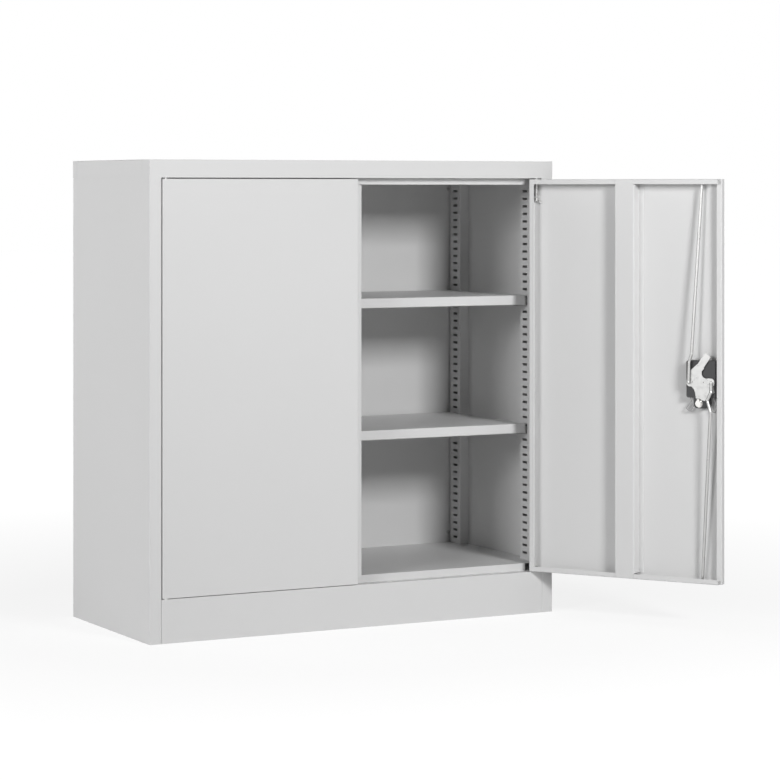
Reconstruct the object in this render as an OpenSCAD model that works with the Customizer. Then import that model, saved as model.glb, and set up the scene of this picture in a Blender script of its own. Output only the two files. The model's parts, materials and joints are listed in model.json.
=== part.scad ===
// Low tool cabinet of folded sheet steel with two hinged doors, two loose shelves and a three-point lock.
// Millimetres. X runs to the right, Y to the back and Z up, from the middle of the footprint on the floor.
// The right door is drawn open, the left one closed and the lock unlocked.

/* [Carcass] */
// Width over the side panels
cabinet_w = 900; // [860:1:1100]
// Depth from the stiles to the back
cabinet_d = 400; // [380:1:600]
// Height from the floor to the top
cabinet_h = 930; // [900:1:1200]
// Sheet thickness of the carcass
body_t = 1; // [0.8:0.1:1.2]
// Outer radius of a folded edge
bend_r = 2; // [1.5:0.1:2.5]
// Width of the stile in front of each side panel
stile_w = 25; // [24:1:40]
// Depth of the stile's inner wall
stile_d = 25; // [24:1:26]
// Width of the side panel's fold behind the back panel
rear_fold_w = 34; // [32:1:40]
// Width of the plain flanges that stiffen an edge
flange_w = 15; // [10:1:20]
// Gap at a seam between two outer sheets
seam = 0.5; // [0.3:0.1:0.8]
// Height of the lap behind the seam between a side panel and the top
lap_h = 10; // [6:1:14]

/* [Top] */
// Height of the apron round the top
apron_h = 35; // [30:1:60]
// How far the front rail wraps round the corner
front_wrap = 37; // [30:1:60]
// How far the rear rail wraps round the corner
rear_wrap = 22; // [15:1:40]
// How far the stop hangs below the front rail
top_stop_h = 13; // [8:1:18]

/* [Base] */
// Height of the plinth
plinth_h = 85; // [60:1:120]
// Height of the floor panel above the plinth
floor_rise = 15; // [12:1:20]
// Gap between a closed door's stiffener and the stops
stop_gap = 0.5; // [0.4:0.1:1.5]
// Gap between the end of a stop and the stile
stop_end_gap = 25; // [24.5:0.5:30]
// Thickness of the plug in the ledge
ledge_plug_h = 1; // [0.5:0.1:1.2]
// Distance of the ledge plug from the middle
ledge_plug_x = 76; // [60:1:120]
// Radius of the ledge plug
ledge_plug_r = 6; // [4:0.5:7]

/* [Doors] */
// Opening angle of the right door
right_door_open = 123; // [0:1:127]
// Sheet thickness of the doors
door_t = 1; // [0.8:0.1:1.2]
// Depth of a door pan
door_d = 24; // [20:1:24]
// Width of the lips round a door pan
door_lip = 11; // [8:0.5:14]
// Gap between a door and the stile
side_gap = 2; // [2:0.1:3]
// Gap above the doors
top_gap = 2.2; // [1.5:0.1:3]
// Gap below the doors
bottom_gap = 1.5; // [1.4:0.1:3]
// Gap between the two doors
meeting_gap = 1.2; // [1:0.1:2]
// Distance of the meeting gap from the middle
meeting_x = 0.5; // [0:0.1:2]
// Depth of the free edge of the right door
free_edge_d = 14; // [12:0.5:15]
// Width of the rebate strip of the left door
rebate_w = 14; // [10:1:16]
// How far the rebate strip stops short of the door's top and bottom
rebate_end_gap = 12; // [8:1:20]
// Gap between the right door's edge and the rebate strip
rebate_gap = 1; // [0.8:0.1:1.5]
// How far the top and bottom lips stop short of the free edge
lip_end_gap = 5; // [4:0.5:10]
// Distance of the stiffener from the hinge edge
stiffener_u = 192.8; // [120:0.1:220]
// Width of the stiffener
stiffener_w = 43.5; // [30:0.5:60]
// Width of the stiffener's feet
stiffener_foot = 10; // [8:1:14]

/* [Hinges] */
// Distance of the pivot from the door's hinge edge
pivot_u = 8; // [8:0.1:10]
// Distance of the pivot behind the door's face
pivot_v = 5; // [4.8:0.1:5.2]
// Diameter of the hinge pins
hinge_pin_d = 5.5; // [5:0.1:5.6]
// Running clearance of a pin in its hole, on the radius
pin_fit = 0.08; // [0.05:0.01:0.1]
// How far the upper pin stands into the front rail
pin_reach = 8; // [5:1:12]
// Travel of the upper pin when it is drawn down
pin_travel = 12; // [11:1:16]
// Length left in the pin's spring when the pin is down
spring_spare = 3.9; // [1:0.1:6]
// Height of the finger pull below the bracket
pull_drop = 7; // [5:1:14]
// Length of the finger pull beside the pin
pull_l = 8; // [6:0.5:9]
// Thickness of the pin bracket
bracket_t = 1.5; // [1:0.1:2]
// Distance of the spring's collar below the door's top
pin_collar_drop = 14; // [13:0.5:15]
// Thickness of the collar
pin_collar_t = 2; // [1:0.1:3]
// Turns of the pin's spring
spring_turns = 7; // [5:1:9]
// Diameter of the spring's wire
spring_wire = 0.8; // [0.6:0.1:0.8]
// Height of the lower pin above the ledge
lower_pin_h = 12; // [8:1:16]
// Radius of the washer under the door
washer_r = 4.8; // [4:0.1:4.8]

/* [Shelves] */
// Number of the slot that carries the upper shelf
upper_shelf_slot = 33; // [24:1:40]
// Number of the slot that carries the lower shelf
lower_shelf_slot = 16; // [3:1:20]
// Thickness of a shelf's folded edge
shelf_h = 20; // [16:1:30]
// Width of the fold under a shelf's edge
shelf_fold = 12; // [8:1:20]
// Distance of a shelf behind the cabinet's front
shelf_setback = 60; // [45:1:70]
// Gap between a shelf and the back panel
shelf_back_gap = 8; // [4:1:20]
// Gap between a shelf's end and the upright
shelf_end_gap = 8; // [5:0.5:12]
// Sheet thickness of a shelf
shelf_t = 1; // [0.8:0.1:1.2]
// Thickness of a shelf clip
clip_t = 2; // [1.5:0.1:2.5]
// Length of a clip under the shelf
clip_reach = 15; // [10:1:25]
// Height of the clip's tab beside the shelf
clip_tab_h = 12; // [6:1:16]

/* [Uprights] */
// Width of an upright
upright_w = 44; // [38:1:60]
// How far an upright stands off the side panel
upright_d = 21; // [14:1:24]
// Distance of the front uprights behind the cabinet's front
front_upright_setback = 50; // [40:1:70]
// Gap between the rear uprights and the back panel
rear_upright_gap = 4; // [3:0.5:20]
// Pitch of the slots
slot_pitch = 15.7; // [15:0.1:30]
// Height of the first slot above the floor panel
first_slot_z = 14.5; // [10:0.5:30]
// Width of a slot
slot_w = 18; // [16:1:24]
// Height of a slot
slot_h = 5; // [4:0.5:7]
// Distance of the slots from the upright's outer edge
slot_edge = 15; // [8:1:16]

/* [Screws] */
// Number of screws down each side of the back panel
screws_per_side = 4; // [2:1:8]
// Diameter of a screw's shank
screw_d = 4; // [3:0.1:5]
// Diameter of a screw's head
screw_head_d = 8; // [6:0.1:9]
// Height of a screw's head
screw_head_h = 1.8; // [1:0.1:2]
// Height of the lowest screw above the floor panel
first_screw_z = 22; // [15:1:60]

/* [Lock] */
// Distance of the lock's spindle from the door's free edge
lock_inset = 43; // [42:0.5:44]
// Distance of the lock's spindle below the middle of the door
lock_drop = 2; // [-100:1:100]
// Width of the housing from the spindle towards the hinge
lock_left = 31.5; // [30:0.5:34]
// Height of the housing above the spindle
lock_up = 43; // [36:1:50]
// Height of the housing below the spindle
lock_down = 31; // [30:0.5:32]
// Depth of the housing inside the door
lock_depth = 18; // [16.5:0.5:18]
// Radius of the housing's corners
lock_corner = 4; // [2:0.5:6]
// Width of the boss under the housing
boss_w = 31; // [29:0.5:34]
// Height of the boss from the key's axis down
boss_down = 9.5; // [9.5:0.5:12]
// Width of the bezel in front of the door
bezel_w = 74; // [72:1:78]
// Thickness of the bezel
bezel_t = 3; // [2:0.5:4]
// How far the bezel stands above and below the housing
bezel_margin = 4; // [2:0.5:8]
// Radius of the dish round the handle
dish_r = 25; // [24:0.5:25]
// Wall of the housing behind the dish
dish_wall = 4; // [3:0.5:5]
// Length of the handle
handle_l = 48; // [40:1:48]
// Width of the handle
handle_w = 11; // [9:1:14]
// Thickness of the handle's disc
handle_disc_t = 4; // [3:0.5:5]
// Diameter of the spindle
spindle_d = 8; // [6:0.5:9]
// How far the handle's grip lies in front of the spindle's end
grip_wall = 5; // [4:0.5:7]
// Offset of the key cylinder towards the hinge
cylinder_shift = 5; // [3:0.5:6]
// Drop of the key cylinder below the spindle
cylinder_drop = 42.5; // [41:0.5:44]
// Diameter of the key cylinder's body
cylinder_d = 16; // [15:0.5:16.5]
// Diameter of the key cylinder's octagonal end
cylinder_end_d = 14; // [12:0.5:15]
// How far the octagonal end stands behind the housing
cylinder_end_h = 2; // [1.5:0.1:2.5]
// Diameter of the turning plug
plug_d = 10; // [8:0.5:10.5]
// Length of the plug's cam from its axis
plug_cam_l = 9; // [8:0.5:9]
// Thickness of the lock's back plate
back_plate_t = 1.5; // [1:0.1:1.8]
// Diameter of the back plate's screws
plate_screw_d = 3; // [2.5:0.1:3.5]
// Thickness of the locking cam
cam_t = 2; // [1.5:0.1:2.5]
// Clearance between the sliding layers of the lock
layer_gap = 0.4; // [0.3:0.1:0.6]
// Distance of each rod's pin from the spindle
crank_r = 24; // [22:0.5:24]
// Width of the cam's crossbar
cam_w = 17; // [14:0.5:17]
// Length of the tongue beyond the cam's plate
tongue_l = 27; // [22:0.5:30]
// Width of the tongue
tongue_w = 14.5; // [12:0.5:16]
// Direction of the tongue when unlocked
tongue_angle = 55; // [50:1:58]
// Radius of the notch beside the tongue
notch_r = 10.5; // [8:0.5:11]
// Diameter of the wire that holds the housing
clip_wire_d = 1.3; // [1:0.1:1.6]

/* [Rods] */
// Diameter of the locking rods
rod_d = 6; // [5:0.1:6]
// Depth of the rods' outer ends behind the door's face
rod_v = 12; // [10:0.5:13]
// Distance of the rods' outer ends from the door's free edge
rod_inset = 42.7; // [42:0.1:43]
// Width of the slots that the rods slide in
rod_slot_w = 27; // [26:1:30]
// Depth of the slots that the rods slide in
rod_slot_d = 9; // [8:0.5:10]
// How far a rod's end stays inside the door's edge
rod_end_gap = 0.4; // [0.2:0.1:0.8]

/* [Hidden] */
$fn = 48;

half_w = cabinet_w / 2;
front_y = -cabinet_d / 2;
back_y = cabinet_d / 2;
rail_z = cabinet_h - apron_h;
floor_z = plinth_h + floor_rise;
stile_x = half_w - stile_w;
stop_x = stile_x - stop_end_gap;
stop_y = front_y + door_d + door_t + stop_gap;
back_in_y = back_y - 2 * body_t;
upright_x = half_w - body_t - upright_d;
shelf_x = upright_x - shelf_end_gap;
shelf_y0 = front_y + shelf_setback;
shelf_y1 = back_in_y - shelf_back_gap;
bend_steps = 4;
// Growth of a wire at its bends, so that the bars run into a round knuckle
knuckle = 1.07;
nudge = 0.01;
painted = [0.87, 0.87, 0.87];
zinc = [0.80, 0.80, 0.80];
nickel = [0.78, 0.77, 0.74];
black = [0.16, 0.16, 0.17];
white = [0.95, 0.95, 0.95];

// Room behind the stops for the swing of a door's rear corner
swing_room = 6;
// Clearance between the pin and its spring
spring_fit = 0.2;
// Height of the chamfer on a pin's end
pin_chamfer = 1;
// How far a bracket or collar stands round the pin
pin_margin = 1;
// Gap between the washer and the door above it
washer_gap = 0.2;
// Length of the back plate's screws in the housing
plate_screw_l = 5;
// Gap between the lock and the rebate strip of the closed left door
strip_gap = 0.6;
// Radius of the ends of the cam's crossbar
cam_corner = 6;
// How far the key cylinder stands in front of the bezel
cylinder_front = 1;

// Door sizes, with u from the hinge edge, v from the face inwards and z up
door_x = stile_x - side_gap;
door_z0 = plinth_h + bottom_gap;
door_z1 = rail_z - top_gap;
left_door_w = door_x + meeting_x - meeting_gap / 2;
right_door_w = door_x - meeting_x - meeting_gap / 2;
rebate_v = free_edge_d + rebate_gap;
pivot_x = door_x - pivot_u;
pivot_y = front_y + pivot_v;
pin_r = hinge_pin_d / 2;
pin_spring_h = pin_travel + spring_turns * spring_wire + spring_spare;
pin_bracket_drop = pin_collar_drop + pin_spring_h + bracket_t;
pin_drop = pin_bracket_drop + pull_drop;

// Lock sizes, with x to the free edge, y up and z into the cabinet
lock_u = right_door_w - lock_inset;
lock_z = (door_z0 + door_z1) / 2 - lock_drop;
lock_right = lock_inset - rebate_w + meeting_gap - strip_gap;
cam_z = lock_depth + back_plate_t + layer_gap;
rod_r = rod_d / 2;
rod_z = cam_z + cam_t + layer_gap + rod_r;
rod_u = right_door_w - rod_inset;
rod_top = door_z1 - rod_end_gap - lock_z;
rod_bottom = door_z0 + rod_end_gap - lock_z;
dish_depth = lock_depth - dish_wall;
key_axis = [-cylinder_shift, -cylinder_drop];
housing_fit = 0.3;
boss_bottom = key_axis.y - boss_down;
tongue_base = [1.1, lock_up - 9.5];
plate_screw_spots = [[lock_right - 7, -18], [-6, -27.5]];

// Sideways direction of a path, to its left
function left_of(v) = [-v.y, v.x];
function unit(v) = v / norm(v);

// A path's points moved sideways
function moved(path, d) = [
    for (i = [0 : len(path) - 1])
        let (
            a = unit(i == 0 ? path[1] - path[0] : path[i] - path[i - 1]),
            b = unit(i == len(path) - 1 ? path[i] - path[i - 1] : path[i + 1] - path[i])
        )
        path[i] + d * (left_of(a) + left_of(b)) / (1 + a * b)
];

// Points of one corner, rounded by r where it turns left and by r - d where it turns right
function corner(path, i, r, d) =
    let (
        a = unit(path[i] - path[i - 1]),
        b = unit(path[i + 1] - path[i]),
        side = sign(a.x * b.y - a.y * b.x),
        rr = side > 0 ? r : r - d,
        angle = acos(a * b),
        start = path[i] - a * rr * tan(angle / 2),
        centre = start + left_of(a) * rr * side
    )
    rr <= nudge ? [path[i]] : [
        for (k = [0 : bend_steps])
            let (w = side * angle * k / bend_steps, s = start - centre)
            centre + [s.x * cos(w) - s.y * sin(w), s.x * sin(w) + s.y * cos(w)]
    ];

function rounded(path, r, d) = [
    for (i = [0 : len(path) - 1])
        for (p = i == 0 || i == len(path) - 1 ? [path[i]] : corner(path, i, r, d)) p
];

function reversed(list) = [for (i = [len(list) - 1 : -1 : 0]) list[i]];

// Section of a folded sheet: its outer face follows the path and its thickness lies to the left
module folded(path, t) {
    outer = rounded(path, bend_r, t);
    inner = rounded(moved(path, t), bend_r - t, -t);
    polygon(concat(outer, reversed(inner)));
}

// Block between two corners
module block(a, b) {
    translate(a) cube(b - a);
}

// Outline with rounded corners, between two corners
module round_square(a, b, r) {
    translate([a.x + r, a.y]) square([b.x - a.x - 2 * r, b.y - a.y]);
    translate([a.x, a.y + r]) square([b.x - a.x, b.y - a.y - 2 * r]);
    for (x = [a.x + r, b.x - r])
        for (y = [a.y + r, b.y - r])
            translate([x, y]) circle(r);
}

// Slot with round ends, centred, along X and cut along Z
module slot_cut(w, d, h) {
    translate([-(w - d) / 2, -d / 2, 0]) cube([w - d, d, h]);
    for (x = [-1, 1])
        translate([x * (w - d) / 2, 0, 0]) cylinder(h = h, d = d);
}

// Round bar from one point to another
module bar(a, b, r) {
    v = b - a;
    translate(a)
        rotate([0, acos(v.z / norm(v)), atan2(v.y, v.x)])
            cylinder(h = norm(v), r = r);
}

// Round wire through the points of a path
module wire(path, r) {
    for (i = [0 : len(path) - 2])
        bar(path[i], path[i + 1], r);
    for (p = path)
        translate(p) sphere(r * knuckle);
}

// Places a piece given in the closed left door's directions
module on_left_door() {
    translate([-door_x, front_y, 0]) children();
}

// The same for the right door, which is swung open
module on_right_door() {
    translate([pivot_x, pivot_y, 0])
        rotate([0, 0, right_door_open])
            translate([-pivot_x, -pivot_y, 0])
                mirror([1, 0, 0])
                    translate([-door_x, front_y, 0]) children();
}

// Places a piece given from the spindle: X to the free edge, Y up, Z into the cabinet
module in_lock() {
    on_right_door()
        translate([lock_u, 0, lock_z])
            mirror([0, 1, 0])
                rotate([90, 0, 0]) children();
}

// Screw places on the back panel
function screw_spots() =
    let (span = rail_z - floor_z - 2 * first_screw_z)
    [
        for (s = [-1, 1])
            for (i = [0 : screws_per_side - 1])
                [s * (upright_x - pin_r), floor_z + first_screw_z + span * i / (screws_per_side - 1)]
    ];

module screw_holes() {
    for (p = screw_spots())
        translate([p.x, back_y + body_t, p.y])
            rotate([90, 0, 0]) cylinder(h = 4 * body_t, d = screw_d + 2 * pin_fit);
}

// Carcass

module top_panel() {
    apron_y0 = front_y + front_wrap + seam;
    apron_y1 = back_y - rear_wrap - seam;
    color(painted) union() {
        block([-half_w, front_y, cabinet_h - body_t], [half_w, apron_y0, cabinet_h]);
        block([-half_w, apron_y1, cabinet_h - body_t], [half_w, back_y, cabinet_h]);
        translate([0, apron_y1, 0])
            rotate([90, 0, 0])
                linear_extrude(apron_y1 - apron_y0)
                    folded([
                        [half_w, rail_z],
                        [half_w, cabinet_h],
                        [-half_w, cabinet_h],
                        [-half_w, rail_z]
                    ], body_t);
    }
}

module front_top_rail() {
    color(painted) difference() {
        union() {
            block([-half_w, front_y, rail_z], [half_w, front_y + body_t, cabinet_h - body_t]);
            for (s = [-1, 1])
                block([s * half_w - (s + 1) / 2 * body_t, front_y, rail_z],
                      [s * half_w + (1 - s) / 2 * body_t, front_y + front_wrap, cabinet_h - body_t]);
            block([-stile_x, front_y + nudge, rail_z], [stile_x, stop_y + body_t, rail_z + body_t]);
            translate([-stop_x, 0, 0])
                rotate([90, 0, 90])
                    linear_extrude(2 * stop_x)
                        folded([
                            [stop_y, rail_z - top_stop_h],
                            [stop_y, rail_z + body_t],
                            [stop_y + flange_w, rail_z + body_t]
                        ], -body_t);
        }
        for (s = [-1, 1])
            translate([s * pivot_x, pivot_y, rail_z - body_t])
                cylinder(h = 3 * body_t, r = pin_r + pin_fit);
        translate([door_x - rod_u, front_y + rod_v, rail_z - body_t])
            slot_cut(rod_slot_w, rod_slot_d, 3 * body_t);
    }
}

module rear_top_rail() {
    color(painted) union() {
        block([-half_w, back_y - body_t, rail_z], [half_w, back_y, cabinet_h - body_t]);
        for (s = [-1, 1])
            block([s * half_w - (s + 1) / 2 * body_t, back_y - rear_wrap, rail_z],
                  [s * half_w + (1 - s) / 2 * body_t, back_y, cabinet_h - body_t]);
    }
}

module side_panel() {
    color(painted) difference() {
        union() {
            linear_extrude(rail_z - seam)
                folded([
                    [-half_w + rear_fold_w, back_y],
                    [-half_w, back_y],
                    [-half_w, front_y],
                    [-stile_x, front_y],
                    [-stile_x, front_y + stile_d],
                    [-stile_x - door_lip, front_y + stile_d]
                ], body_t);
            block([-half_w, front_y, rail_z - seam - nudge], [-stile_x, front_y + body_t, rail_z]);
            block([-half_w + body_t - nudge, front_y + body_t, 0],
                  [-half_w + flange_w, back_y - body_t, body_t]);
            block([-half_w + body_t, front_y + body_t, rail_z - lap_h],
                  [-half_w + 2 * body_t, back_in_y - body_t, rail_z + lap_h]);
        }
        screw_holes();
    }
}

module left_side_panel() {
    side_panel();
}

module right_side_panel() {
    mirror([1, 0, 0]) side_panel();
}

module back_panel() {
    color(painted) difference() {
        block([-half_w + 3 * body_t, back_in_y, 2 * body_t],
              [half_w - 3 * body_t, back_in_y + body_t, cabinet_h - 2 * body_t]);
        screw_holes();
    }
}

module back_panel_screws() {
    color(zinc)
        for (p = screw_spots())
            translate([p.x, back_in_y, p.y])
                rotate([90, 0, 0]) {
                    cylinder(h = screw_head_h, d1 = screw_head_d, d2 = screw_head_d * 0.7);
                    translate([0, 0, -2 * body_t]) cylinder(h = 2 * body_t + nudge, d = screw_d);
                }
}

module base_panel() {
    side_x = half_w - 2 * body_t;
    color(painted) union() {
        difference() {
            block([-side_x, stop_y, floor_z - body_t], [side_x, back_in_y, floor_z]);
            for (s = [-1, 1])
                translate([s * (stop_x + side_x) / 2, stop_y + swing_room / 2 - nudge, floor_z])
                    cube([side_x - stop_x + nudge, swing_room, 3 * body_t], center = true);
        }
        block([-stop_x, stop_y, plinth_h], [stop_x, stop_y + body_t, floor_z]);
        block([-side_x, back_in_y - body_t, plinth_h], [side_x, back_in_y, floor_z]);
        for (s = [-1, 1])
            block([s * side_x - (s + 1) / 2 * body_t, stop_y + swing_room, plinth_h],
                  [s * side_x + (1 - s) / 2 * body_t, back_in_y, floor_z]);
    }
}

module plinth_frame() {
    ring_x = stile_x - nudge;
    ring_y = back_in_y - nudge;
    color(painted) difference() {
        block([-ring_x, front_y, 0], [ring_x, ring_y, plinth_h]);
        block([-ring_x + body_t, front_y + body_t, body_t],
              [ring_x - body_t, ring_y - body_t, plinth_h - body_t]);
        block([-ring_x + flange_w, front_y + flange_w, -body_t],
              [ring_x - flange_w, ring_y - flange_w, 2 * body_t]);
        block([-ring_x + flange_w, stop_y + 3 * body_t, plinth_h - 2 * body_t],
              [ring_x - flange_w, ring_y - flange_w, plinth_h + body_t]);
        for (s = [-1, 1])
            translate([s * pivot_x, pivot_y, plinth_h - 2 * body_t])
                cylinder(h = 3 * body_t, r = pin_r);
        translate([door_x - rod_u, front_y + rod_v, plinth_h - 2 * body_t])
            slot_cut(rod_slot_w, rod_slot_d, 3 * body_t);
    }
}

module ledge_plug() {
    color(white) translate([ledge_plug_x, front_y + rod_v, plinth_h])
        cylinder(h = ledge_plug_h, r1 = ledge_plug_r, r2 = ledge_plug_r * 0.8);
}

// Slotted upright on the left side, from its front edge backwards
module upright(y) {
    upright_h = rail_z - lap_h - seam - floor_z;
    slots = floor((upright_h - first_slot_z - slot_h) / slot_pitch);
    face_x = upright_x;
    slot_y = y < 0 ? y + slot_edge : y + upright_w - slot_edge - slot_w;
    color(painted) difference() {
        translate([0, 0, floor_z])
            linear_extrude(upright_h)
                folded([
                    [-half_w + body_t, y],
                    [-face_x, y],
                    [-face_x, y + upright_w],
                    [-half_w + body_t, y + upright_w]
                ], body_t);
        for (i = [0 : slots])
            translate([-face_x - 2 * body_t, slot_y, floor_z + first_slot_z + i * slot_pitch - slot_h / 2])
                cube([3 * body_t, slot_w, slot_h]);
    }
}

module front_left_upright() {
    upright(front_y + front_upright_setback);
}

module rear_left_upright() {
    upright(back_in_y - rear_upright_gap - upright_w);
}

module front_right_upright() {
    mirror([1, 0, 0]) front_left_upright();
}

module rear_right_upright() {
    mirror([1, 0, 0]) rear_left_upright();
}

// Shelves

function slot_z(i) = floor_z + first_slot_z + i * slot_pitch;
function shelf_z(i) = slot_z(i) - slot_h / 2 + clip_t;

module shelf(i) {
    z0 = shelf_z(i);
    z1 = z0 + shelf_h;
    color(painted) union() {
        translate([-shelf_x, 0, 0])
            rotate([90, 0, 90])
                linear_extrude(2 * shelf_x)
                    folded([
                        [shelf_y1 - shelf_fold, z0],
                        [shelf_y1, z0],
                        [shelf_y1, z1],
                        [shelf_y0, z1],
                        [shelf_y0, z0],
                        [shelf_y0 + shelf_fold, z0]
                    ], shelf_t);
        for (s = [0, 1])
            mirror([s, 0, 0]) {
                block([-shelf_x, shelf_y0 + bend_r, z0], [-shelf_x + shelf_t, shelf_y1 - bend_r, z1 - shelf_t / 2]);
                block([-shelf_x, shelf_y0 + bend_r, z0], [-shelf_x + shelf_fold, shelf_y1 - bend_r, z0 + shelf_t]);
            }
    }
}

module upper_shelf() {
    shelf(upper_shelf_slot);
}

module lower_shelf() {
    shelf(lower_shelf_slot);
}

// One clip on the left: a ledge through the slot, a hook behind it and a tab beside the shelf
module shelf_clip(i, y) {
    z = shelf_z(i);
    hook_x = -upright_x - body_t;
    clip_w = slot_w - 2;
    tab_x = -shelf_x - shelf_end_gap / 2;
    translate([0, y + (slot_w - clip_w) / 2 + clip_w, 0])
        rotate([90, 0, 0])
            linear_extrude(clip_w) {
                polygon([
                    [hook_x - seam - clip_t, z - clip_t - slot_h],
                    [hook_x - seam, z - clip_t - slot_h],
                    [hook_x - seam, z - clip_t],
                    [-shelf_x + clip_reach, z - clip_t],
                    [-shelf_x + clip_reach, z],
                    [tab_x, z],
                    [tab_x, z + clip_tab_h],
                    [tab_x - clip_t, z + clip_tab_h],
                    [tab_x - clip_t, z],
                    [hook_x - seam - clip_t, z]
                ]);
            }
}

module shelf_clips(i) {
    front_slot = front_y + front_upright_setback + slot_edge;
    rear_slot = back_in_y - rear_upright_gap - slot_edge - slot_w;
    color(zinc)
        for (s = [0, 1])
            mirror([s, 0, 0])
                for (y = [front_slot, rear_slot])
                    shelf_clip(i, y);
}

module upper_shelf_clips() {
    shelf_clips(upper_shelf_slot);
}

module lower_shelf_clips() {
    shelf_clips(lower_shelf_slot);
}

// Doors

// Pan of a door, with the section of its free edge given as a path from the face
module door_pan(w, free_edge) {
    lip_w = w - lip_end_gap;
    union() {
        translate([0, 0, door_z0])
            linear_extrude(door_z1 - door_z0)
                folded(concat([[door_lip, door_d], [0, door_d], [0, 0]], free_edge), door_t);
        for (top = [false, true])
            translate([bend_r, 0, top ? door_z1 : door_z0])
                mirror([0, 0, top ? 1 : 0])
                    rotate([90, 0, 90])
                        linear_extrude(lip_w - bend_r)
                            folded([
                                [door_t / 2, 0],
                                [door_d, 0],
                                [door_d, door_lip - door_t]
                            ], door_t);
    }
}

module pin_hole() {
    for (z = [door_z0, door_z1])
        translate([pivot_u, pivot_v, z - 2 * door_t])
            cylinder(h = 4 * door_t, r = pin_r + pin_fit);
}

module left_door_panel() {
    color(painted) on_left_door() difference() {
        door_pan(left_door_w, [
            [left_door_w, 0],
            [left_door_w, rebate_v],
            [left_door_w + rebate_w, rebate_v]
        ]);
        pin_hole();
        for (z = [door_z0 - 1, door_z1 - rebate_end_gap])
            translate([left_door_w, 0, z])
                cube([rebate_w + 1, door_d, rebate_end_gap + 1]);
    }
}

module right_door_panel() {
    color(painted) on_right_door() difference() {
        door_pan(right_door_w, [
            [right_door_w, 0],
            [right_door_w, free_edge_d],
            [right_door_w - door_lip, free_edge_d]
        ]);
        pin_hole();
        for (z = [door_z0, door_z1])
            translate([rod_u, rod_v, z - 2 * door_t])
                slot_cut(rod_slot_w, rod_slot_d, 4 * door_t);
        translate([lock_u, 0, lock_z])
            mirror([0, 1, 0])
                rotate([90, 0, 0])
                    translate([0, 0, -door_t])
                        linear_extrude(3 * door_t) housing_outline(housing_fit);
    }
}

// Hat section over the middle of a door, its ends lying on the lips
module stiffener() {
    face_v = door_d;
    u0 = stiffener_u;
    u1 = stiffener_u + stiffener_w;
    color(painted) union() {
        translate([0, 0, door_z0 + door_lip])
            linear_extrude(door_z1 - door_z0 - 2 * door_lip)
                folded([
                    [u0 - stiffener_foot, 2 * door_t],
                    [u0, 2 * door_t],
                    [u0, face_v + door_t],
                    [u1, face_v + door_t],
                    [u1, 2 * door_t],
                    [u1 + stiffener_foot, 2 * door_t]
                ], -door_t);
        block([u0 + bend_r, face_v, door_z0 + door_t], [u1 - bend_r, face_v + door_t, door_z1 - door_t]);
    }
}

module left_door_stiffener() {
    on_left_door() stiffener();
}

module right_door_stiffener() {
    on_right_door() stiffener();
}

// Hinges

module pin_bracket() {
    z = door_z1 - pin_bracket_drop;
    bracket_u = 2 * pivot_u - 2 * door_t;
    bracket_v = 2 * pivot_v + 2 * door_t;
    color(painted) difference() {
        union() {
            block([bend_r, door_t, z], [bracket_u, bracket_v, z + bracket_t]);
            block([door_t, bend_r, z], [bend_r + nudge, bracket_v, z + bracket_t]);
            block([door_t, bend_r, z], [door_t + bracket_t, bracket_v, z + pivot_u]);
        }
        translate([pivot_u, pivot_v, z - bracket_t])
            cylinder(h = 3 * bracket_t, r = pin_r + pin_fit);
    }
}

// Pin standing on z = 0, its top chamfered
module hinge_pin(h) {
    cylinder(h = h - pin_chamfer, r = pin_r);
    translate([0, 0, h - pin_chamfer]) cylinder(h = pin_chamfer, r1 = pin_r, r2 = pin_r - pin_chamfer);
}

// Spring pin with a collar and a bent finger pull
module upper_pin() {
    color(zinc) translate([pivot_u, pivot_v, door_z1 - pin_drop]) union() {
        hinge_pin(pin_drop + top_gap + pin_reach);
        translate([0, 0, pin_drop - pin_collar_drop])
            cylinder(h = pin_collar_t, r = pin_r + pin_margin);
        wire([
            [-pin_r - pin_margin, 0, 0],
            [pin_r + pin_margin, 0, 0],
            [pin_r + pull_l, 0, -pull_l / 2]
        ], pin_r / 2);
    }
}

// Ring of points round a helix's centre line, n points at angle a
function helix_ring(a, rise, coil_r, wire_r, n) = [
    for (k = [0 : n - 1])
        let (b = 360 * k / n, r = coil_r + wire_r * cos(b))
        [r * cos(a), r * sin(a), rise * a / 360 + wire_r * sin(b)]
];

// Coil spring standing on z = 0, its end turns resting on both seats
module coil_spring(h, coil_r, wire_r, turns) {
    sides = 6;
    per_turn = 14;
    rings = turns * per_turn;
    rise = (h - 2 * wire_r) / turns;
    points = [
        for (i = [0 : rings])
            for (p = helix_ring(360 * i / per_turn, rise, coil_r, wire_r, sides)) p
    ];
    sides_faces = [
        for (i = [0 : rings - 1])
            for (k = [0 : sides - 1])
                let (a = i * sides + k, b = i * sides + (k + 1) % sides)
                [a, a + sides, b + sides, b]
    ];
    ends = [[for (k = [0 : sides - 1]) k], [for (k = [sides - 1 : -1 : 0]) rings * sides + k]];
    translate([0, 0, wire_r]) polyhedron(points, concat(sides_faces, ends));
}

module pin_spring() {
    color(zinc) translate([pivot_u, pivot_v, door_z1 - pin_collar_drop - pin_spring_h])
        coil_spring(pin_spring_h, pin_r + spring_wire / 2 + spring_fit, spring_wire / 2, spring_turns);
}

module lower_pin() {
    color(zinc) translate([pivot_u, pivot_v, plinth_h - body_t])
        hinge_pin(lower_pin_h);
}

module door_washer() {
    color(white) translate([pivot_u, pivot_v, plinth_h]) difference() {
        cylinder(h = bottom_gap - washer_gap, r = washer_r);
        translate([0, 0, -bottom_gap]) cylinder(h = 3 * bottom_gap, r = pin_r + pin_fit);
    }
}

module left_pin_bracket() {
    on_left_door() pin_bracket();
}

module left_upper_pin() {
    on_left_door() upper_pin();
}

module left_pin_spring() {
    on_left_door() pin_spring();
}

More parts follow.
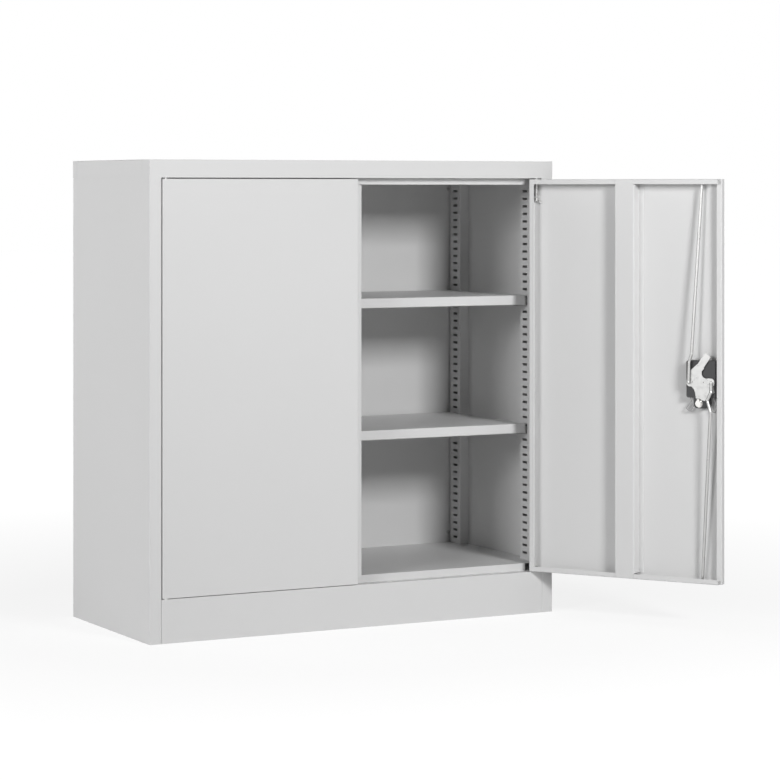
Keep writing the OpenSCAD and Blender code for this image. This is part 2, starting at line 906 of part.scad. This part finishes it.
module left_lower_pin() {
    on_left_door() lower_pin();
}

module left_door_washer() {
    on_left_door() door_washer();
}

module right_pin_bracket() {
    on_right_door() pin_bracket();
}

module right_upper_pin() {
    on_right_door() upper_pin();
}

module right_pin_spring() {
    on_right_door() pin_spring();
}

module right_lower_pin() {
    mirror([1, 0, 0]) on_left_door() lower_pin();
}

module right_door_washer() {
    mirror([1, 0, 0]) on_left_door() door_washer();
}

// Lock

// Outline of the housing behind the door's face, grown by fit
module housing_outline(fit) {
    round_square([-lock_left - fit, -lock_down - fit], [lock_right + fit, lock_up + fit], lock_corner);
    round_square([-boss_w / 2 - fit, boss_bottom - fit],
                 [boss_w / 2 + fit, 2 * lock_corner - lock_down], 2 * lock_corner);
}

module lock_housing() {
    bezel_x = (lock_right - lock_left) / 2;
    color(black) in_lock() difference() {
        union() {
            linear_extrude(lock_depth) housing_outline(0);
            translate([0, 0, -bezel_t])
                linear_extrude(bezel_t)
                    round_square([bezel_x - bezel_w / 2, boss_bottom - bezel_margin],
                                 [bezel_x + bezel_w / 2, lock_up + bezel_margin], 2 * lock_corner);
        }
        translate([0, 0, -2 * bezel_t]) cylinder(h = 2 * bezel_t + dish_depth, r = dish_r);
        cylinder(h = 2 * lock_depth, r = spindle_d / 2 + pin_fit);
        translate([key_axis.x, key_axis.y, -2 * bezel_t])
            cylinder(h = 2 * (bezel_t + lock_depth), r = cylinder_d / 2 + pin_fit);
        for (p = plate_screw_spots)
            translate([p.x, p.y, lock_depth - plate_screw_l - 1])
                cylinder(h = 2 * lock_depth, d = plate_screw_d);
    }
}

module lock_handle() {
    disc_z = dish_depth - layer_gap - handle_disc_t;
    color(black) in_lock() difference() {
        union() {
            translate([0, 0, disc_z]) cylinder(h = handle_disc_t, r = dish_r - 1);
            translate([-handle_l / 2, -handle_w / 2, -bezel_t])
                cube([handle_l, handle_w, bezel_t + disc_z + handle_disc_t / 2]);
        }
        translate([0, 0, grip_wall - bezel_t]) cylinder(h = lock_depth, r = spindle_d / 2);
    }
}

module lock_spindle() {
    z0 = grip_wall - bezel_t;
    color(zinc) in_lock() translate([0, 0, z0])
        cylinder(h = cam_z + cam_t - z0, r = spindle_d / 2);
}

// Fixed plate under the cam, cut out round the key cylinder
module lock_back_plate() {
    color(zinc) in_lock() translate([0, 0, lock_depth]) difference() {
        linear_extrude(back_plate_t) difference() {
            polygon([
                [-crank_r, cam_w / 2],
                [crank_r - 0.7, cam_w / 2 - 1.6],
                [lock_right - 0.6, -19.5],
                [crank_r - 6, -26.3],
                [crank_r - 15.6, -36.8],
                [-10.8, -31.8],
                [-12.1, -21],
                [-14.9, -13.5],
                [-crank_r, -6]
            ]);
            circle(spindle_d / 2 + pin_fit);
            translate(key_axis) circle(cylinder_end_d / 2 + 3);
        }
        for (p = plate_screw_spots)
            translate([p.x, p.y, -nudge])
                cylinder(h = back_plate_t + 2 * nudge, r1 = plate_screw_d / 2 + pin_fit, r2 = plate_screw_d + pin_fit);
    }
}

// Countersunk screws, flush with the back plate
module lock_plate_screws() {
    color(zinc) in_lock()
        for (p = plate_screw_spots)
            translate([p.x, p.y, lock_depth]) {
                translate([0, 0, -plate_screw_l]) cylinder(h = plate_screw_l, d = plate_screw_d - pin_fit);
                cylinder(h = back_plate_t, d1 = plate_screw_d - pin_fit, d2 = 2 * plate_screw_d - pin_fit);
            }
}

// Outline of the cam: the crossbar that moves the rods, and the tongue that reaches behind the other door
function cam_outline() =
    let (
        cam_x = lock_right - layer_gap / 2,
        cam_y = cam_w / 2,
        plate_x = 1 - crank_r,
        notch = [notch_r + 2.6, cam_y + notch_r - 0.5],
        shoulder = tongue_w / 2 * [sin(tongue_angle), -cos(tongue_angle)],
        tip = tongue_base + tongue_l * [cos(tongue_angle), sin(tongue_angle)]
    )
    concat(
        rounded([[0, -cam_y], [cam_x, -cam_y], [cam_x, cam_y], [notch.x + 3, cam_y]], cam_corner, 0),
        [for (a = [280 : -20 : 120]) notch + notch_r * [cos(a), sin(a)]],
        rounded([tongue_base + shoulder, tip + shoulder, tip - shoulder, tongue_base - shoulder,
                 [plate_x, crank_r - 2], [plate_x, cam_y]], lock_corner, 0),
        rounded([[plate_x, cam_y], [-cam_x, cam_y], [-cam_x, -cam_y], [0, -cam_y]], cam_corner, 0)
    );

module locking_cam() {
    color(zinc) in_lock() translate([0, 0, cam_z]) linear_extrude(cam_t) difference() {
        polygon(cam_outline());
        circle(spindle_d / 2);
        for (x = [-1, 1])
            translate([x * crank_r, 0]) circle(rod_r + pin_fit);
        for (x = [-17, 7.5])
            translate([x, 0.5]) circle(plate_screw_d / 2);
    }
}

// Rod from its pin in the cam through its bends to its outer end
module rod(side, bends, end_y) {
    pin = [side * crank_r, 0];
    last = bends[len(bends) - 1];
    color(zinc) in_lock() union() {
        translate([pin.x, pin.y, cam_z]) cylinder(h = rod_z - cam_z, r = rod_r);
        wire([for (p = concat([pin], bends)) [p.x, p.y, rod_z]], rod_r);
        bar([last.x, last.y, rod_z], [rod_u - lock_u, end_y, rod_v], rod_r);
    }
}

module upper_rod() {
    rod(-1, [[1.2 - crank_r, 40], [6.6 - crank_r, 56.6]], rod_top);
}

module lower_rod() {
    rod(1, [[crank_r, -18.5], [crank_r - 8, -35.5], [crank_r - 1, -57.5]], rod_bottom);
}

module key_cylinder() {
    body_h = bezel_t + cylinder_front + lock_depth - 2;
    color(nickel) in_lock() translate([key_axis.x, key_axis.y, -bezel_t - cylinder_front]) difference() {
        union() {
            cylinder(h = body_h, d = cylinder_d);
            translate([0, 0, body_h]) cylinder(h = 2 + cylinder_end_h, d = cylinder_end_d, $fn = 8);
        }
        translate([0, 0, -1]) cylinder(h = 2 * body_h, r = plug_d / 2 + pin_fit);
    }
}

module key_plug() {
    keyway_w = 2;
    keyway_h = 7;
    z0 = -bezel_t - cylinder_front - 0.5;
    color(nickel) in_lock() translate([key_axis.x, key_axis.y, z0]) difference() {
        cylinder(h = lock_depth + cylinder_end_h + 0.5 - z0, d = plug_d);
        translate([-keyway_w / 2, -keyway_h / 2, -1]) cube([keyway_w, keyway_h, lock_depth]);
    }
}

module key_plug_cam() {
    color(nickel) in_lock() translate([key_axis.x, key_axis.y, lock_depth + cylinder_end_h + 0.5])
        linear_extrude(1) union() {
            circle(d = plug_d);
            translate([-plug_d / 4, 0]) square([plug_d / 2, plug_cam_l]);
        }
}

// Bent wires between the housing and its boss, that hold it against the door's face
module lock_wire_clips() {
    y0 = -lock_down - clip_wire_d / 3;
    y1 = key_axis.y - 1.2;
    left = [
        [-lock_left + 4.5, y0],
        [-lock_left + 6.3, y0 - 7.5],
        [-lock_left - 4.7, boss_bottom - 1.3],
        [-lock_left + 0.1, boss_bottom - 5.6],
        [-lock_left + 4.9, boss_bottom - 7.3],
        [-boss_w / 2 - layer_gap / 4, y1]
    ];
    right = [
        [lock_right - 5.6, y0],
        [lock_right - 0.1, boss_bottom + 1.3],
        [lock_right - 2.8, boss_bottom - 7.7],
        [lock_right - 9, boss_bottom - 5.4],
        [boss_w / 2 + clip_wire_d, y1]
    ];
    color(zinc) in_lock()
        translate([0, 0, lock_depth / 2])
            for (path = [left, right])
                linear_extrude(clip_wire_d) folded(path, clip_wire_d);
}

top_panel();
front_top_rail();
rear_top_rail();
left_side_panel();
right_side_panel();
back_panel();
base_panel();
plinth_frame();
ledge_plug();
front_left_upright();
rear_left_upright();
front_right_upright();
rear_right_upright();
upper_shelf();
lower_shelf();
upper_shelf_clips();
lower_shelf_clips();
back_panel_screws();
left_door_panel();
left_door_stiffener();
left_pin_bracket();
left_upper_pin();
left_pin_spring();
left_lower_pin();
left_door_washer();
right_door_panel();
right_door_stiffener();
right_pin_bracket();
right_upper_pin();
right_pin_spring();
right_lower_pin();
right_door_washer();
lock_housing();
lock_handle();
lock_spindle();
lock_back_plate();
lock_plate_screws();
locking_cam();
upper_rod();
lower_rod();
key_cylinder();
key_plug();
key_plug_cam();
lock_wire_clips();
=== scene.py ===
"""Dresses the folded-steel tool cabinet and sets up a plain studio round it."""

import json
import math

import bpy
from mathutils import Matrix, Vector

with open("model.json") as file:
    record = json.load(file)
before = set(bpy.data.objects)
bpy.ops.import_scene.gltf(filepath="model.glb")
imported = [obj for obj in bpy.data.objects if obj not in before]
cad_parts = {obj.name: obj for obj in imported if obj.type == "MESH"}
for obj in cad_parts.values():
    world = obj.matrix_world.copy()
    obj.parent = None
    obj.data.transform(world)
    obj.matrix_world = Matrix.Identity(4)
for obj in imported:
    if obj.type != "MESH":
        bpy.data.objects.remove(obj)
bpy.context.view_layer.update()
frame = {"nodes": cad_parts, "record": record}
scene = bpy.context.scene

# Camera: a long lens at the height of the cabinet's top, levelled, with the view shifted down
IMAGE_PX = 780
FOCAL_PX = 2753.35
HORIZON_PX = 188.5
SENSOR_MM = 36
CAMERA_AT = (-2.5105, -5.0707, 0.8740)
CAMERA_YAW = 27.92
CAMERA_REACH = 100

# Colours, as linear values
PAINT = (0.71, 0.71, 0.71)
ZINC = (0.50, 0.50, 0.495)
STEEL_WIRE = (0.26, 0.26, 0.26)
NICKEL = (0.80, 0.79, 0.77)
BLACK = (0.035, 0.035, 0.037)
NYLON = (0.86, 0.86, 0.85)

# Lamps: place, aim, width and height in metres, and power in watts
CABINET_MIDDLE = (0.2, 0.0, 0.5)
SIDE_MIDDLE = (-0.45, 0.0, 0.5)
KEY_LAMP = ((0.48, -3.4, 1.72), CABINET_MIDDLE, 0.65, 0.65, 70)
SIDE_LAMP = ((-6.0, -2.6, 2.4), CABINET_MIDDLE, 1.8, 1.8, 148)
FILL_LAMP = ((-3.4, 1.4, 1.3), SIDE_MIDDLE, 2.4, 2.4, 39)
SKY_LEVEL = 0.01

# Floor: its grey in diffuse light and where it is seen, and the white added there, by distance
FLOOR_SIZE = 60
FLOOR_ROUGHNESS = 0.9
FLOOR_COLOUR = 0.82
FLOOR_SHOWN = 0.16
FLOOR_LIFT_NEAR = 0.86
FLOOR_LIFT_FAR = 1.0
FLOOR_NEAR = 0.7
FLOOR_FAR = 2.2

# The band in which a noise's values mostly lie
NOISE_LOW = 0.3
NOISE_HIGH = 0.7

# How far a plastic's roughness varies to either side
PLASTIC_VARIATION = 0.06


def new_material(name):
    """A Principled material: itself, its tree, its shader and its object coordinates."""
    material = bpy.data.materials.new(name)
    material.use_nodes = True
    tree = material.node_tree
    coordinates = tree.nodes.new("ShaderNodeTexCoord").outputs["Object"]
    return material, tree, tree.nodes["Principled BSDF"], coordinates


def combined(tree, operation, first, second):
    """Two values joined by a math operation."""
    node = tree.nodes.new("ShaderNodeMath")
    node.operation = operation
    tree.links.new(first, node.inputs[0])
    tree.links.new(second, node.inputs[1])
    return node.outputs[0]


def ranged(tree, value, low, high, start=0.0, end=1.0):
    """A value mapped to a range."""
    node = tree.nodes.new("ShaderNodeMapRange")
    node.inputs["From Min"].default_value = start
    node.inputs["From Max"].default_value = end
    node.inputs["To Min"].default_value = low
    node.inputs["To Max"].default_value = high
    tree.links.new(value, node.inputs["Value"])
    return node.outputs["Result"]


def noise(tree, coordinates, scale, detail=2.0, stretch=None):
    """Noise in the object's own space, stretched along its axes where asked."""
    if stretch:
        mapping = tree.nodes.new("ShaderNodeMapping")
        mapping.inputs["Scale"].default_value = stretch
        tree.links.new(coordinates, mapping.inputs["Vector"])
        coordinates = mapping.outputs["Vector"]
    node = tree.nodes.new("ShaderNodeTexNoise")
    node.inputs["Scale"].default_value = scale
    node.inputs["Detail"].default_value = detail
    tree.links.new(coordinates, node.inputs["Vector"])
    return node.outputs["Fac"]


def varied(tree, factor, colour, darkest, lightest):
    """A colour that varies between two shades of itself."""
    node = tree.nodes.new("ShaderNodeMix")
    node.data_type = "RGBA"
    node.inputs["A"].default_value = (*(c * darkest for c in colour), 1)
    node.inputs["B"].default_value = (*(c * lightest for c in colour), 1)
    tree.links.new(factor, node.inputs["Factor"])
    return node.outputs["Result"]


def bump(tree, height, strength, distance, below=None):
    """A bump's normal, over another one where given."""
    node = tree.nodes.new("ShaderNodeBump")
    node.inputs["Strength"].default_value = strength
    node.inputs["Distance"].default_value = distance
    tree.links.new(height, node.inputs["Height"])
    if below:
        tree.links.new(below, node.inputs["Normal"])
    return node.outputs["Normal"]


def connect(tree, shader, colour, roughness, normal):
    """Feeds a shader's colour, roughness and normal."""
    tree.links.new(colour, shader.inputs["Base Color"])
    tree.links.new(roughness, shader.inputs["Roughness"])
    tree.links.new(normal, shader.inputs["Normal"])


def seen_directly(tree):
    """1 where the camera, a mirror or glass sees the surface, 0 where diffuse light does."""
    path = tree.nodes.new("ShaderNodeLightPath")
    seen = path.outputs["Is Camera Ray"]
    for ray in ("Is Glossy Ray", "Is Transmission Ray"):
        seen = combined(tree, "MAXIMUM", seen, path.outputs[ray])
    return seen


def make_camera():
    """The photograph's camera."""
    data = bpy.data.cameras.new("camera")
    data.sensor_width = SENSOR_MM
    data.lens = FOCAL_PX / IMAGE_PX * SENSOR_MM
    data.shift_y = (HORIZON_PX - IMAGE_PX / 2) / IMAGE_PX
    data.clip_end = CAMERA_REACH
    camera = bpy.data.objects.new("camera", data)
    camera.location = CAMERA_AT
    camera.rotation_euler = (math.radians(90), 0, -math.radians(CAMERA_YAW))
    scene.collection.objects.link(camera)
    scene.camera = camera


def make_world():
    """White where it is seen, and a low even light elsewhere."""
    world = bpy.data.worlds.new("studio")
    world.use_nodes = True
    tree = world.node_tree
    background = tree.nodes["Background"]
    background.inputs["Color"].default_value = (1, 1, 1, 1)
    level = ranged(tree, seen_directly(tree), SKY_LEVEL, 1.0)
    tree.links.new(level, background.inputs["Strength"])
    scene.world = world


def make_floor():
    """A pale floor that shows white and keeps a soft shadow near the cabinet."""
    bpy.ops.mesh.primitive_plane_add(size=FLOOR_SIZE, location=(0, 0, 0))
    floor = bpy.context.object
    floor.name = "floor"
    material, tree, shader, at = new_material("floor")
    seen = seen_directly(tree)
    grey = ranged(tree, seen, FLOOR_COLOUR, FLOOR_SHOWN)
    tree.links.new(grey, shader.inputs["Base Color"])
    shader.inputs["Roughness"].default_value = FLOOR_ROUGHNESS
    shader.inputs["Specular IOR Level"].default_value = 0.0

    distance = tree.nodes.new("ShaderNodeVectorMath")
    distance.operation = "LENGTH"
    tree.links.new(at, distance.inputs[0])
    lift = ranged(tree, distance.outputs["Value"],
                  FLOOR_LIFT_NEAR, FLOOR_LIFT_FAR, FLOOR_NEAR, FLOOR_FAR)
    glow = tree.nodes.new("ShaderNodeEmission")
    tree.links.new(combined(tree, "MULTIPLY", lift, seen), glow.inputs["Strength"])
    both = tree.nodes.new("ShaderNodeAddShader")
    tree.links.new(shader.outputs[0], both.inputs[0])
    tree.links.new(glow.outputs[0], both.inputs[1])
    tree.links.new(both.outputs[0], tree.nodes["Material Output"].inputs["Surface"])
    floor.data.materials.append(material)


def make_lamp(name, place, aim, width, height, power):
    """A soft box that faces its aim."""
    data = bpy.data.lights.new(name, "AREA")
    data.shape = "RECTANGLE"
    data.size = width
    data.size_y = height
    data.energy = power
    lamp = bpy.data.objects.new(name, data)
    lamp.location = place
    towards = Vector(aim) - Vector(place)
    lamp.rotation_euler = towards.to_track_quat("-Z", "Y").to_euler()
    scene.collection.objects.link(lamp)


def paint_material(name, colour):
    """Powder coat: orange peel, fine grain and a faint cloudiness."""
    material, tree, shader, at = new_material(name)
    cloud = noise(tree, at, scale=3)
    peel = noise(tree, at, scale=420)
    grain = noise(tree, at, scale=2200)
    peeled = bump(tree, peel, strength=0.25, distance=0.0002)
    connect(tree, shader,
            varied(tree, cloud, colour, 0.985, 1.015),
            ranged(tree, peel, 0.40, 0.50, NOISE_LOW, NOISE_HIGH),
            bump(tree, grain, strength=0.12, distance=0.00005, below=peeled))
    return material


def zinc_material(name, colour):
    """Bright zinc plate: fine spangle and drawn lines."""
    material, tree, shader, at = new_material(name)
    shader.inputs["Metallic"].default_value = 1.0
    spangle = noise(tree, at, scale=160, detail=3.0)
    lines = noise(tree, at, scale=900, detail=1.0, stretch=(1, 1, 0.05))
    connect(tree, shader,
            varied(tree, spangle, colour, 0.93, 1.05),
            ranged(tree, spangle, 0.26, 0.42, NOISE_LOW, NOISE_HIGH),
            bump(tree, lines, strength=0.15, distance=0.00005))
    return material


def nickel_material(name, colour):
    """Plated lock parts: smooth, with faint polishing marks."""
    material, tree, shader, at = new_material(name)
    shader.inputs["Metallic"].default_value = 1.0
    marks = noise(tree, at, scale=700, stretch=(1, 0.1, 1))
    connect(tree, shader,
            varied(tree, marks, colour, 0.95, 1.04),
            ranged(tree, marks, 0.16, 0.28),
            bump(tree, marks, strength=0.08, distance=0.00003))
    return material


def plastic_material(name, colour, roughness):
    """Moulded plastic: a fine spark-eroded grain."""
    material, tree, shader, at = new_material(name)
    grain = noise(tree, at, scale=1500)
    flow = noise(tree, at, scale=40)
    smoothest = roughness - PLASTIC_VARIATION
    roughest = roughness + PLASTIC_VARIATION
    connect(tree, shader,
            varied(tree, flow, colour, 0.92, 1.08),
            ranged(tree, grain, smoothest, roughest, NOISE_LOW, NOISE_HIGH),
            bump(tree, grain, strength=0.3, distance=0.0001))
    return material


def dress_nodes():
    """Gives every node of the frame the material of its slot, and the wire clips their own."""
    materials = {
        "painted_steel": paint_material("light_grey_paint", PAINT),
        "zinc_plated_steel": zinc_material("bright_zinc", ZINC),
        "nickel_plated_brass": nickel_material("nickel_plate", NICKEL),
        "black_plastic": plastic_material("black_plastic", BLACK, roughness=0.5),
        "white_nylon": plastic_material("white_nylon", NYLON, roughness=0.4),
    }
    for part in frame["record"]["subparts"]:
        node = frame["nodes"][part["node"]]
        node.data.materials.clear()
        node.data.materials.append(materials[part["material_slot"]])
    wires = frame["nodes"]["lock_wire_clips"]
    wires.data.materials[0] = zinc_material("steel_wire", STEEL_WIRE)


make_camera()
make_world()
make_floor()
make_lamp("key_lamp", *KEY_LAMP)
make_lamp("side_lamp", *SIDE_LAMP)
make_lamp("fill_lamp", *FILL_LAMP)
scene.view_settings.view_transform = "Standard"
dress_nodes()
